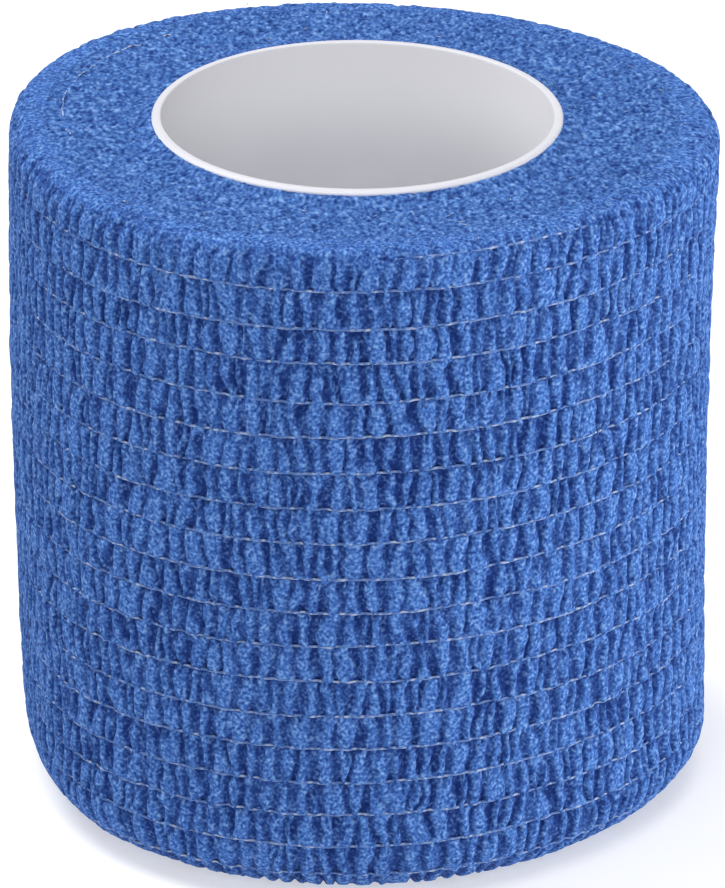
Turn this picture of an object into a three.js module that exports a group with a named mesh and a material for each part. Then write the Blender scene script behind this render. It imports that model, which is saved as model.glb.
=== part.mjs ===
// Sock tape roll: an elastic crinkled tape wound on a stiff white tube, standing on one end.
// Millimetres, +Z up. The origin is on the surface that the roll stands on, under the middle
// of its outline. -Y is the front of the roll, and the tape's outer end is at the back.

import * as THREE from 'three';

// Tape and roll
const TAPE_WIDTH = 50;
const TAPE_THICKNESS = 0.3;
const ROLL_RADIUS = 24.8;
const ROLL_OFFSET_X = -0.39;
const ROLL_OFFSET_Y = 0.32;
const ROLL_SEGMENTS = 72;

// Tube in the middle, pushed a little out of the top of the winding
const CORE_OUTER_RADIUS = 14.35;
const CORE_WALL = 0.7;
const CORE_EDGE = 0.12;
const CORE_LIFT = 0.3;
const CORE_OFFSET_Y = 0.25;
const CORE_SEGMENTS = 64;
const CORE_GAP = 0.3;

// Ends of the winding: a tight rim at the top, a fuller one at the foot, a shallow dish on top
const TOP_RIM_RADIUS = 1.6;
const FOOT_RIM_RADIUS = 4.6;
const TOP_DISH = 0.3;
const TOP_RIM_STEPS = 4;
const FOOT_RIM_STEPS = 5;

// Elastic threads run round the tape and pinch it into soft rows
const THREAD_COUNT = 19;
const LOWEST_THREAD = 2.0;
const HIGHEST_THREAD = 49.5;
const ROW_PUFF = 0.3;

// Outer end of the tape, a plain cut across its width at the back
const TAPE_END_ANGLE = 104;
const TAPE_END_STEP_ANGLE = 1.2;

// The winding is not round: lobes of so many to the turn, high by so much at the top and at
// the foot, with the first one facing so many degrees from +X towards +Y
const LOBES = [
  { lobes: 2, top: 0.68, foot: 0.44, facing: -13 },
  { lobes: 3, top: 0.54, foot: 0.54, facing: 14 },
  { lobes: 4, top: 0.07, foot: 0.37, facing: 55 },
  { lobes: 5, top: 0.07, foot: 0.29, facing: -4 },
];

// Halfway up, the laps have slid towards -X
const BELLY_SHIFT = 0.42;

const DEGREE = Math.PI / 180;

const whitePlastic = new THREE.MeshStandardMaterial({
  color: 0xeeeef2,
  roughness: 0.38,
  metalness: 0,
});

const blueCrepe = new THREE.MeshStandardMaterial({
  color: 0x2f63b8,
  roughness: 0.9,
  metalness: 0,
});

// How far the winding stands out of round at an angle in radians and a height
function outOfRound(angle, height) {
  const rise = height / TAPE_WIDTH;
  const belly = 4 * rise * (1 - rise);
  let sum = -BELLY_SHIFT * belly * Math.cos(angle);
  for (const { lobes, top, foot, facing } of LOBES) {
    const size = foot + (top - foot) * rise;
    sum += size * Math.cos(lobes * (angle - facing * DEGREE));
  }
  return sum;
}

// The tape's thickness, spread round the turn that ends at the cut
function spiralInset(turn) {
  return TAPE_THICKNESS * (1 - turn);
}

// Heights of the thread lines from the lowest up
function threadHeights() {
  const pitch = (HIGHEST_THREAD - LOWEST_THREAD) / (THREAD_COUNT - 1);
  return Array.from({ length: THREAD_COUNT }, (_, i) => LOWEST_THREAD + i * pitch);
}

// Outer wall from the foot's flat ring up to the top face, pinched at each thread
function outerWall() {
  const wall = [];
  for (let i = 0; i < FOOT_RIM_STEPS; i += 1) {
    const turn = (i / FOOT_RIM_STEPS) * 90 * DEGREE;
    const inset = FOOT_RIM_RADIUS * (1 - Math.sin(turn));
    wall.push(new THREE.Vector2(ROLL_RADIUS - inset, FOOT_RIM_RADIUS * (1 - Math.cos(turn))));
  }

  const threads = threadHeights();
  const rimStart = TAPE_WIDTH - TOP_RIM_RADIUS;
  for (let i = 1; i < threads.length - 1; i += 1) {
    const crest = (threads[i] + threads[i + 1]) / 2;
    wall.push(new THREE.Vector2(ROLL_RADIUS - ROW_PUFF / 2, threads[i]));
    if (crest < rimStart) {
      wall.push(new THREE.Vector2(ROLL_RADIUS + ROW_PUFF / 2, crest));
    }
  }

  for (let i = 0; i <= TOP_RIM_STEPS; i += 1) {
    const turn = (i / TOP_RIM_STEPS) * 90 * DEGREE;
    const inset = TOP_RIM_RADIUS * (1 - Math.cos(turn));
    wall.push(new THREE.Vector2(ROLL_RADIUS - inset, rimStart + TOP_RIM_RADIUS * Math.sin(turn)));
  }
  return wall;
}

// Closed section of the winding: outer wall, dished top, bore, flat foot
function windingSection() {
  const bore = CORE_OUTER_RADIUS + CORE_GAP;
  const wall = outerWall();
  const shoulder = bore + (ROLL_RADIUS - bore) * 0.45;
  const top = [
    new THREE.Vector2(shoulder, TAPE_WIDTH - TOP_DISH * 0.25),
    new THREE.Vector2(bore, TAPE_WIDTH - TOP_DISH),
  ];
  return [...wall, ...top, new THREE.Vector2(bore, 0), wall[0].clone()];
}

// The tube: one plain ring with its edges broken
function coreTube() {
  const outer = CORE_OUTER_RADIUS;
  const inner = CORE_OUTER_RADIUS - CORE_WALL;
  const section = [
    new THREE.Vector2(outer - CORE_EDGE, 0),
    new THREE.Vector2(outer, CORE_EDGE),
    new THREE.Vector2(outer, TAPE_WIDTH - CORE_EDGE),
    new THREE.Vector2(outer - CORE_EDGE, TAPE_WIDTH),
    new THREE.Vector2(inner + CORE_EDGE, TAPE_WIDTH),
    new THREE.Vector2(inner, TAPE_WIDTH - CORE_EDGE),
    new THREE.Vector2(inner, CORE_EDGE),
    new THREE.Vector2(inner + CORE_EDGE, 0),
    new THREE.Vector2(outer - CORE_EDGE, 0),
  ];
  const tube = new THREE.Mesh(new THREE.LatheGeometry(section, CORE_SEGMENTS), whitePlastic);
  tube.name = 'core_tube';
  tube.rotation.x = 90 * DEGREE;
  tube.position.set(ROLL_OFFSET_X, ROLL_OFFSET_Y + CORE_OFFSET_Y, CORE_LIFT);
  return tube;
}

// The wound tape: a lathed ring whose wall is then pushed out of round and given its spiral
function woundCloth() {
  const section = windingSection();
  const geometry = new THREE.LatheGeometry(section, ROLL_SEGMENTS);
  geometry.rotateX(90 * DEGREE);

  const bore = CORE_OUTER_RADIUS + CORE_GAP;
  const place = geometry.getAttribute('position');
  const wholeTurn = 360 - TAPE_END_STEP_ANGLE;
  for (let i = 0; i < place.count; i += 1) {
    const segment = Math.floor(i / section.length);
    const { x: radius, y: height } = section[i % section.length];
    const atStep = segment === ROLL_SEGMENTS;
    const turn = atStep ? 1 : segment / (ROLL_SEGMENTS - 1);
    const swept = atStep ? 360 : turn * wholeTurn;
    const angle = (TAPE_END_ANGLE + swept) * DEGREE;
    const outward = (radius - bore) / (ROLL_RADIUS - bore);
    const inset = spiralInset(atStep ? 0 : turn);
    const reach = radius + outward * (outOfRound(angle, height) - inset);
    const coreShare = CORE_OFFSET_Y * (1 - outward);
    place.setXYZ(i, reach * Math.cos(angle), reach * Math.sin(angle) + coreShare, height);
  }
  geometry.computeVertexNormals();

  const cloth = new THREE.Mesh(geometry, blueCrepe);
  cloth.name = 'wound_cloth';
  cloth.position.set(ROLL_OFFSET_X, ROLL_OFFSET_Y, 0);
  return cloth;
}

const sockTapeRoll = new THREE.Group();
sockTapeRoll.add(coreTube(), woundCloth());

export default sockTapeRoll;
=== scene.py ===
"""Sock tape roll: crinkled elastic cloth tape wound on a stiff white tube, on a pale studio floor.

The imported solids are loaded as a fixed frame. The plain winding and the plain tube are then
replaced by finished pieces: the puckered outer turn, the felted ends of the turns under it, the
elastic threads that run round the cloth, and the tube with its soft rim.

The roll's sizes are in millimetres and degrees. Meshes, the camera and the lamps are in metres, in
the frame of the solids: +Z is up, the front of the roll is at -Y and the tape's outer end is at
the back.
"""

from __future__ import annotations

import logging
import math
from dataclasses import dataclass
from enum import Enum, auto
from typing import Iterable

import bmesh
import bpy
import numpy as np
from mathutils import Matrix, Vector


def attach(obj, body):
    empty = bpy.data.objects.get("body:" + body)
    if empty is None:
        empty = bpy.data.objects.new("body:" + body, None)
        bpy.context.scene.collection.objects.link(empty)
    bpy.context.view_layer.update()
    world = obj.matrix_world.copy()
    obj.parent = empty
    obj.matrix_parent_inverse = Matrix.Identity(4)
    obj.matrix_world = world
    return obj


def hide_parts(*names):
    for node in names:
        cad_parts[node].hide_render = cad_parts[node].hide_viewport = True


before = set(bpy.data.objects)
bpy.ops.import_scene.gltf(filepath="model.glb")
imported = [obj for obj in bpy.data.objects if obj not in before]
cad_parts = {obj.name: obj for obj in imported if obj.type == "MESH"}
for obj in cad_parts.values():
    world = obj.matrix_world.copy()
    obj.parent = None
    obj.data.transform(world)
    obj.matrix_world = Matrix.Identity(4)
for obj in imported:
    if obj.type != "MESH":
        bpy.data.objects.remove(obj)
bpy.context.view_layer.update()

MM = 0.001
MERGE_DISTANCE = 1e-8
PHOTO_WIDTH = 725
PHOTO_HEIGHT = 888
WHITE = (1.0, 1.0, 1.0)

# Numbers of a Mix node's colour sockets, which share their names with its other ones
MIX_SHARE, MIX_FIRST, MIX_SECOND = 0, 6, 7
MIX_RESULT = 2

Colour = tuple[float, float, float]
Span = tuple[float, float]
Inputs = dict[str | int, object]

log = logging.getLogger("sock_tape_roll")


# Shared helpers


def smooth_step(low: float | np.ndarray, high: float, value: np.ndarray) -> np.ndarray:
    """Eases from 0 at low to 1 at high.

    Args:
        low: Where the step starts.
        high: Where the step ends.
        value: The values to ease.

    Returns:
        The eased values, from 0 to 1.
    """
    share = np.clip((value - low) / (high - low), 0.0, 1.0)
    return share * share * (3.0 - 2.0 * share)


def soft_noise(rng: np.random.Generator, shape: tuple[int, int], reach: Span) -> np.ndarray:
    """White noise blurred until neighbours agree, with a spread of one, that wraps round both ways.

    Args:
        rng: The seeded source of the noise.
        shape: How many cells along and across.
        reach: How many cells the blur takes in along and across.

    Returns:
        An array of the given shape.
    """
    spectrum = np.fft.rfft2(rng.standard_normal(shape))
    along = np.fft.fftfreq(shape[0])[:, None] * reach[0]
    across = np.fft.rfftfreq(shape[1])[None, :] * reach[1]
    damped = spectrum * np.exp(-2.0 * math.pi**2 * (along**2 + across**2))
    noise = np.fft.irfft2(damped, s=shape)
    return (noise - noise.mean()) / noise.std()


def soft_row(rng: np.random.Generator, count: int, reach: float) -> np.ndarray:
    """One row of soft noise, with as many cells as asked."""
    return soft_noise(rng, (count, 1), (reach, 0.0))[:, 0]


def blurred(values: np.ndarray, reach: float) -> np.ndarray:
    """A row of values with each one averaged over its neighbours, wrapping round.

    Args:
        values: The row.
        reach: How many cells the blur takes in.

    Returns:
        The blurred row.
    """
    waves = np.fft.rfftfreq(len(values)) * reach
    spectrum = np.fft.rfft(values) * np.exp(-2.0 * math.pi**2 * waves**2)
    return np.fft.irfft(spectrum, n=len(values))


class Ends(Enum):
    """What becomes of a bent grid's first and last columns."""

    MEET = auto()
    BRIDGED = auto()
    CAPPED = auto()


def bent_grid(places: np.ndarray, fields: dict[str, np.ndarray], ends: Ends) -> bmesh.types.BMesh:
    """Bends a grid into a closed form whose section is closed too.

    Args:
        places: The point of each column and station, as (columns + 1, stations + 1, 3). The last
            station lies on the first, and where the ends meet the last column is on the first.
        fields: A value or a vector for each point, which the finishes read by name.
        ends: Whether the ends meet in a ring, are bridged with each other, or are capped.

    Returns:
        The bmesh, which the caller frees.
    """
    columns, stations = places.shape[0] - 1, places.shape[1] - 1
    form = bmesh.new()
    bmesh.ops.create_grid(form, x_segments=columns, y_segments=stations, size=0.5)
    sheet = bpy.data.meshes.new("bent_grid")
    form.to_mesh(sheet)

    cells = np.empty(len(sheet.vertices) * 3, np.float32)
    sheet.vertices.foreach_get("co", cells)
    cells = cells.reshape(-1, 3)
    column = np.rint((cells[:, 0] + 0.5) * columns).astype(int)
    station = np.rint((cells[:, 1] + 0.5) * stations).astype(int)
    sheet.vertices.foreach_set("co", places[column, station].astype(np.float32).ravel())
    for name, values in fields.items():
        picked = values[column, station].astype(np.float32)
        kind, key = ("FLOAT", "value") if picked.ndim == 1 else ("FLOAT_VECTOR", "vector")
        sheet.attributes.new(name, kind, "POINT").data.foreach_set(key, picked.ravel())

    form.clear()
    form.from_mesh(sheet)
    bpy.data.meshes.remove(sheet)
    rim = [v for v in form.verts if v.is_boundary]
    bmesh.ops.remove_doubles(form, verts=rim, dist=MERGE_DISTANCE)
    open_edges = [e for e in form.edges if e.is_boundary]
    if ends is Ends.BRIDGED:
        bmesh.ops.bridge_loops(form, edges=open_edges)
    elif ends is Ends.CAPPED:
        bmesh.ops.holes_fill(form, edges=open_edges, sides=0)
    bmesh.ops.recalc_face_normals(form, faces=form.faces)
    return form


def thin_tube(path: np.ndarray, radius: float | np.ndarray, sides: int) -> bmesh.types.BMesh:
    """Sweeps a small ring along a path that lies about level, and closes its ends.

    Args:
        path: Points in millimetres, as (points, 3).
        radius: The radius at each point, or one for all.
        sides: How many sides the ring has.

    Returns:
        The bmesh, which the caller frees.
    """
    way = np.gradient(path, axis=0)
    way /= np.linalg.norm(way, axis=1, keepdims=True)
    side = np.cross(way, [0.0, 0.0, 1.0])
    side /= np.linalg.norm(side, axis=1, keepdims=True)
    over = np.cross(side, way)
    around = np.linspace(0.0, 2.0 * math.pi, sides + 1)[None, :, None]
    size = np.broadcast_to(radius, len(path))[:, None, None]
    ring = size * (np.cos(around) * side[:, None, :] + np.sin(around) * over[:, None, :])
    places = (path[:, None, :] + ring) * MM
    places[:, -1] = places[:, 0]
    return bent_grid(places, {}, Ends.CAPPED)


def joined(forms: Iterable[bmesh.types.BMesh]) -> bmesh.types.BMesh:
    """Joins several bmeshes into one and frees them.

    Args:
        forms: The bmeshes.

    Returns:
        The one bmesh, which the caller frees.
    """
    whole = bmesh.new()
    part = bpy.data.meshes.new("part")
    for form in forms:
        form.to_mesh(part)
        form.free()
        whole.from_mesh(part)
    bpy.data.meshes.remove(part)
    return whole


def smooth_piece(name: str, form: bmesh.types.BMesh) -> bpy.types.Object:
    """Puts a bmesh into the scene as a smooth-shaded object at the origin, and frees it.

    Args:
        name: The name of the piece and its mesh.
        form: The bmesh.

    Returns:
        The piece.
    """
    mesh = bpy.data.meshes.new(name)
    for face in form.faces:
        face.smooth = True
    form.to_mesh(mesh)
    form.free()
    piece = bpy.data.objects.new(name, mesh)
    bpy.context.scene.collection.objects.link(piece)
    return piece


def dressed(
    pieces: list[bpy.types.Object], material: bpy.types.Material, node: str
) -> list[bpy.types.Object]:
    """Gives pieces their material, says what they ride on, and hides the solid that they replace.

    Args:
        pieces: The pieces.
        material: The material that they share.
        node: The solid that they replace.

    Returns:
        The same pieces.
    """
    for piece in pieces:
        piece.data.materials.append(material)
        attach(piece, "root")
        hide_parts(node)
    return pieces


def report_piece(piece: bpy.types.Object) -> None:
    """Logs a piece's name and how many triangles it has."""
    triangles = sum(len(face.vertices) - 2 for face in piece.data.polygons)
    log.info("%s: %d triangles", piece.name, triangles)


# The wound form


@dataclass(frozen=True)
class Lobe:
    """One way in which the winding is out of round."""

    count: int
    top: float
    foot: float
    facing: float


@dataclass(frozen=True)
class RollForm:
    """The wound form, with the sizes that its solid has, and the lines of its threads."""

    tape_width: float = 50.0
    tape_thickness: float = 0.3
    radius: float = 24.8
    offset_x: float = -0.39
    offset_y: float = 0.32
    core_radius: float = 14.35
    core_wall: float = 0.7
    core_gap: float = 0.3
    core_lift: float = 0.3
    core_offset_y: float = 0.25
    top_rim: float = 1.6
    foot_rim: float = 4.6
    top_dish: float = 0.3
    shoulder_place: float = 0.45
    shoulder_sink: float = 0.25
    belly_shift: float = 0.42
    tape_end: float = 104.0
    thread_count: int = 19
    lowest_thread: float = 2.0
    highest_thread: float = 49.5
    thread_nudges: tuple[float, ...] = (
        0.0, 0.12, -0.08, -0.18, -0.22, -0.33, -0.21, -0.22, -0.30, -0.32,
        -0.28, -0.29, -0.24, -0.17, -0.13, 0.14, 0.10, 0.26, 0.0,
    )
    tape_wander: float = 0.13
    wander_facing: float = -15.0
    lobes: tuple[Lobe, ...] = (
        Lobe(count=2, top=0.68, foot=0.44, facing=-13.0),
        Lobe(count=3, top=0.54, foot=0.54, facing=14.0),
        Lobe(count=4, top=0.07, foot=0.37, facing=55.0),
        Lobe(count=5, top=0.07, foot=0.29, facing=-4.0),
    )

    @property
    def bore(self) -> float:
        """Radius of the winding's bore."""
        return self.core_radius + self.core_gap

    def out_of_round(self, angle: np.ndarray, height: float | np.ndarray) -> np.ndarray:
        """How far the winding stands out of round.

        Args:
            angle: Angles from +X towards +Y, in radians.
            height: Heights over the foot.

        Returns:
            What is added to the radius.
        """
        rise = height / self.tape_width
        total = -self.belly_shift * 4.0 * rise * (1.0 - rise) * np.cos(angle)
        for lobe in self.lobes:
            size = lobe.foot + (lobe.top - lobe.foot) * rise
            total = total + size * np.cos(lobe.count * (angle - math.radians(lobe.facing)))
        return total

    def place(
        self, angle: np.ndarray, radius: np.ndarray, height: np.ndarray, inset: float | np.ndarray
    ) -> np.ndarray:
        """Puts points of the round section where the real winding has them.

        Args:
            angle: Angles in radians.
            radius: Radii in the round section.
            height: Heights over the foot.
            inset: How far the spiral has taken the lap inwards.

        Returns:
            Points in metres, with a last axis of three.
        """
        outward = (radius - self.bore) / (self.radius - self.bore)
        reach = radius + outward * (self.out_of_round(angle, height) - inset)
        core_share = self.core_offset_y * (1.0 - outward)
        x = reach * np.cos(angle) + self.offset_x
        y = reach * np.sin(angle) + core_share + self.offset_y
        return np.stack(np.broadcast_arrays(x, y, np.maximum(height, 0.0)), axis=-1) * MM

    def top_height(self, radius: np.ndarray) -> np.ndarray:
        """Height of the shallow dish that the top ends of the laps make.

        Args:
            radius: Radii in the round section.

        Returns:
            Heights over the foot.
        """
        shoulder = self.bore + (self.radius - self.bore) * self.shoulder_place
        middle = self.tape_width - self.top_dish * self.shoulder_sink
        radii = [self.bore, shoulder, self.radius - self.top_rim]
        return np.interp(radius, radii, [self.tape_width - self.top_dish, middle, self.tape_width])


@dataclass(frozen=True)
class LapSection:
    """The outer turn's section, followed by its length from the foot's flat ring to the top face."""

    form: RollForm
    foot_flat: float = 0.8
    top_flat: float = 1.1

    @property
    def foot_arc(self) -> float:
        """Length of the foot's rim."""
        return self.form.foot_rim * math.pi / 2.0

    @property
    def wall(self) -> float:
        """Length of the straight wall."""
        return self.form.tape_width - self.form.foot_rim - self.form.top_rim

    @property
    def top_arc(self) -> float:
        """Length of the top's rim."""
        return self.form.top_rim * math.pi / 2.0

    @property
    def length(self) -> float:
        """Length of the whole section."""
        return self.foot_flat + self.foot_arc + self.wall + self.top_arc + self.top_flat

    def at(self, along: np.ndarray, depth: np.ndarray) -> tuple[np.ndarray, np.ndarray]:
        """Follows the section.

        Args:
            along: Lengths from the section's start.
            depth: How far under the surface, square to it.

        Returns:
            The radii and the heights.
        """
        form = self.form
        foot_share = np.clip((along - self.foot_flat) / self.foot_arc, 0.0, 1.0)
        rise = along - self.foot_flat - self.foot_arc
        top_share = np.clip((rise - self.wall) / self.top_arc, 0.0, 1.0)
        flat_in = np.clip(rise - self.wall - self.top_arc, 0.0, None)
        flat_out = np.clip(self.foot_flat - along, 0.0, None)
        turn = (foot_share - 1.0 + top_share) * math.pi / 2.0
        lower = rise < self.wall / 2.0
        bend = np.where(lower, form.foot_rim, form.top_rim)
        centre_height = np.where(lower, form.foot_rim, form.tape_width - form.top_rim)
        radius = form.radius - bend + (bend - depth) * np.cos(turn) - flat_in - flat_out
        on_wall = (foot_share >= 1.0) & (top_share <= 0.0)
        round_height = centre_height + (bend - depth) * np.sin(turn)
        return radius, np.where(on_wall, form.foot_rim + rise, round_height)

    def along_at(self, height: np.ndarray) -> np.ndarray:
        """Finds the lengths along the section where it has some heights.

        Args:
            height: Heights over the foot.

        Returns:
            Lengths from the section's start.
        """
        form = self.form
        sink = np.clip(1.0 - height / form.foot_rim, 0.0, 1.0)
        on_foot = self.foot_flat + form.foot_rim * np.arccos(sink)
        on_wall = self.foot_flat + self.foot_arc + height - form.foot_rim
        over = height - (form.tape_width - form.top_rim)
        bend = form.top_rim * np.arcsin(np.clip(over / form.top_rim, 0.0, 1.0))
        on_rim = self.foot_flat + self.foot_arc + self.wall + bend
        return np.where(height < form.foot_rim, on_foot, np.where(over > 0.0, on_rim, on_wall))


# Puckers: the cloth between two threads is gathered into ridges with hollows between them


@dataclass
class HollowRow:
    """The hollows of one row, in order round the tape, in millimetres and shares of the row."""

    centre: np.ndarray
    half_width: np.ndarray
    depth: np.ndarray
    left_edge: np.ndarray
    right_edge: np.ndarray
    squareness: np.ndarray
    middle: np.ndarray
    extent: np.ndarray
    lean: np.ndarray
    bow: np.ndarray
    end_roundness: float = 0.7
    end_shallowing: float = 0.45
    least_width: float = 1e-4

    def at(self, across: float, along: np.ndarray) -> tuple[np.ndarray, np.ndarray]:
        """Reads the row on one level.

        Args:
            across: How far up the row, from 0 to 1.
            along: Places along the tape.

        Returns:
            How deep the hollows are, from 0 to 1, and how near each place is to a ridge's crest.
        """
        swing = 2.0 * across - 1.0
        centre = self.centre + self.lean * swing + self.bow * swing**2
        reach = np.clip(np.abs((across - self.middle) / (0.5 * self.extent)), 0.0, 1.0)
        lens = (1.0 - reach**self.squareness) ** self.end_roundness
        width = self.half_width * lens + self.least_width
        deep = self.depth * lens**self.end_shallowing

        order = np.argsort(centre)
        centre, width, deep = centre[order], width[order], deep[order]
        left_edge, right_edge = self.left_edge[order], self.right_edge[order]
        after = np.clip(np.searchsorted(centre, along), 1, len(centre) - 1)
        before = after - 1
        from_left = np.abs(along - centre[before]) / width[before]
        from_right = np.abs(centre[after] - along) / width[after]
        left_hollow = deep[before] * (1.0 - smooth_step(right_edge[before], 1.0, from_left))
        right_hollow = deep[after] * (1.0 - smooth_step(left_edge[after], 1.0, from_right))
        phase = np.clip((along - centre[before]) / (centre[after] - centre[before]), 0.0, 1.0)
        return np.maximum(left_hollow, right_hollow), np.sin(math.pi * phase)


@dataclass(frozen=True)
class HollowKind:
    """What the hollows of one kind are like, in millimetres and shares of the row."""

    gap: float
    gap_limits: Span
    half_width: float
    half_width_spread: float
    depths: Span
    edges: Span
    squareness: Span
    middle: Span
    extent: Span
    lean_spread: float
    bow: float
    lean: float = 0.0
    gap_spread: float = 0.34
    spare_draws: float = 1.3
    start_shift: Span = (0.2, 1.0)
    end_room: float = 1.5
    least_half_width: float = 0.1
    room_share: float = 0.43

    def draw(self, rng: np.random.Generator, length: float) -> HollowRow:
        """Draws a row of hollows.

        Args:
            rng: The seeded source.
            length: Length of the tape's turn.

        Returns:
            The row.
        """
        draws = int(length / self.gap * self.spare_draws)
        steps = np.clip(rng.normal(self.gap, self.gap_spread, draws), *self.gap_limits)
        centre = np.cumsum(steps) - rng.uniform(*self.start_shift) * self.gap
        centre = centre[centre < length]
        count = len(centre)
        half = self.half_width * np.exp(rng.normal(0.0, self.half_width_spread, count))
        before = np.diff(centre, prepend=centre[0] - self.end_room)
        after = np.diff(centre, append=centre[-1] + self.end_room)
        room = self.room_share * np.minimum(before, after)
        return HollowRow(
            centre=centre,
            half_width=np.clip(half, self.least_half_width, room),
            depth=rng.uniform(*self.depths, count),
            left_edge=rng.uniform(*self.edges, count),
            right_edge=rng.uniform(*self.edges, count),
            squareness=rng.uniform(*self.squareness, count),
            middle=rng.uniform(*self.middle, count),
            extent=rng.uniform(*self.extent, count),
            lean=rng.normal(self.lean, self.lean_spread, count),
            bow=rng.normal(0.0, self.bow, count),
        )


FOLDS = HollowKind(
    gap=1.26,
    gap_limits=(0.7, 2.0),
    half_width=0.43,
    half_width_spread=0.34,
    depths=(0.5, 1.0),
    edges=(0.15, 0.6),
    squareness=(4.0, 9.0),
    middle=(0.3, 0.7),
    extent=(1.0, 1.7),
    lean_spread=0.12,
    bow=0.08,
)
RIM_FOLDS = HollowKind(
    gap=1.15,
    gap_limits=(0.6, 2.2),
    half_width=0.35,
    half_width_spread=0.36,
    depths=(0.45, 1.0),
    edges=(0.0, 0.5),
    squareness=(2.5, 5.0),
    middle=(0.22, 0.38),
    extent=(0.7, 1.35),
    lean=0.38,
    lean_spread=0.2,
    bow=0.05,
)
PINCHES = HollowKind(
    gap=0.95,
    gap_limits=(0.45, 2.2),
    half_width=0.15,
    half_width_spread=0.35,
    depths=(0.2, 0.95),
    edges=(0.0, 0.4),
    squareness=(1.5, 3.0),
    middle=(0.84, 0.98),
    extent=(0.22, 0.6),
    lean_spread=0.1,
    bow=0.05,
)


# Finishes


def opaque(colour: Colour) -> tuple[float, ...]:
    """A colour with a full alpha after it."""
    return (*colour, 1.0)


class Wiring:
    """Adds nodes to a tree and joins them."""

    def __init__(self, tree: bpy.types.NodeTree) -> None:
        """Keeps the tree."""
        self.tree = tree

    def feed(self, node: bpy.types.Node, inputs: Inputs) -> None:
        """Gives a node's inputs their values, or joins them to output sockets.

        Args:
            node: The node.
            inputs: Values or output sockets, by the input's name or number.
        """
        for name, value in inputs.items():
            if isinstance(value, bpy.types.NodeSocket):
                self.tree.links.new(value, node.inputs[name])
            else:
                node.inputs[name].default_value = value

    def add(self, kind: str, inputs: Inputs | None = None, **settings: object) -> bpy.types.Node:
        """Adds a node.

        Args:
            kind: The node's type.
            inputs: Values or output sockets, by the input's name or number.
            **settings: The node's own settings.

        Returns:
            The node.
        """
        node = self.tree.nodes.new(kind)
        for name, value in settings.items():
            setattr(node, name, value)
        self.feed(node, inputs or {})
        return node

    def math(
        self, operation: str, first: object, second: object, clamp: bool = False
    ) -> bpy.types.NodeSocket:
        """Adds a Math node and returns its output."""
        inputs = {0: first, 1: second}
        return self.add("ShaderNodeMath", inputs, operation=operation, use_clamp=clamp).outputs[0]

    def ramp(
        self, value: bpy.types.NodeSocket, given: Span, wanted: Span = (0.0, 1.0)
    ) -> bpy.types.NodeSocket:
        """Adds a smooth Map Range node from one span to another.

        Args:
            value: The value that it reads.
            given: The values that become the first and the last of the wanted span.
            wanted: The span that it gives.

        Returns:
            The node's output.
        """
        inputs = {
            "Value": value,
            "From Min": given[0],
            "From Max": given[1],
            "To Min": wanted[0],
            "To Max": wanted[1],
        }
        return self.add("ShaderNodeMapRange", inputs, interpolation_type="SMOOTHSTEP").outputs[0]

    def blend(
        self, share: object, first: object, second: object, mode: str = "MIX"
    ) -> bpy.types.NodeSocket:
        """Adds a Mix node that blends colours.

        Args:
            share: How much of the second colour shows.
            first: The first colour.
            second: The second colour.
            mode: The way they blend.

        Returns:
            The node's output.
        """
        inputs = {MIX_SHARE: share, MIX_FIRST: first, MIX_SECOND: second}
        node = self.add("ShaderNodeMix", inputs, data_type="RGBA", blend_type=mode)
        return node.outputs[MIX_RESULT]

    def noise(
        self, spot: bpy.types.NodeSocket, scale: object, detail: float = 0.0
    ) -> bpy.types.NodeSocket:
        """Adds a Noise Texture node and returns its value."""
        inputs = {"Vector": spot, "Scale": scale, "Detail": detail}
        return self.add("ShaderNodeTexNoise", inputs).outputs["Fac"]

    def mapped(self, spot: bpy.types.NodeSocket, inputs: Inputs) -> bpy.types.NodeSocket:
        """Adds a Mapping node that turns or stretches a texture and returns its output."""
        inputs = {"Vector": spot, **inputs}
        return self.add("ShaderNodeMapping", inputs, vector_type="TEXTURE").outputs[0]

    def stops(self, value: bpy.types.NodeSocket, colours: dict[float, Colour]) -> bpy.types.NodeSocket:
        """Adds a Color Ramp node.

        Args:
            value: The value that it reads.
            colours: The colour at each place.

        Returns:
            The node's output.
        """
        node = self.add("ShaderNodeValToRGB", {0: value})
        elements = node.color_ramp.elements
        while len(elements) < len(colours):
            elements.new(1.0)
        for element, (place, colour) in zip(elements, sorted(colours.items())):
            element.position = place
            element.color = opaque(colour)
        return node.outputs[0]


class Surface(Wiring):
    """A new material, whose nodes are wired to its shader."""

    def __init__(self, name: str) -> None:
        """Makes the material and finds its shader.

        Args:
            name: The material's name.
        """
        self.material = bpy.data.materials.new(name)
        self.material.use_nodes = True
        super().__init__(self.material.node_tree)
        self.shader = self.tree.nodes["Principled BSDF"]

    def spot(self) -> bpy.types.NodeSocket:
        """Adds a Texture Coordinate node and returns the place in the object."""
        return self.add("ShaderNodeTexCoord").outputs["Object"]

    def bump(self, height: bpy.types.NodeSocket, distance: float) -> bpy.types.NodeSocket:
        """Adds a Bump node of so many millimetres and returns its normal."""
        return self.add("ShaderNodeBump", {"Height": height, "Distance": distance * MM}).outputs[0]

    def finished(self, inputs: Inputs) -> bpy.types.Material:
        """Feeds the shader and returns the material."""
        self.feed(self.shader, inputs)
        return self.material


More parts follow.
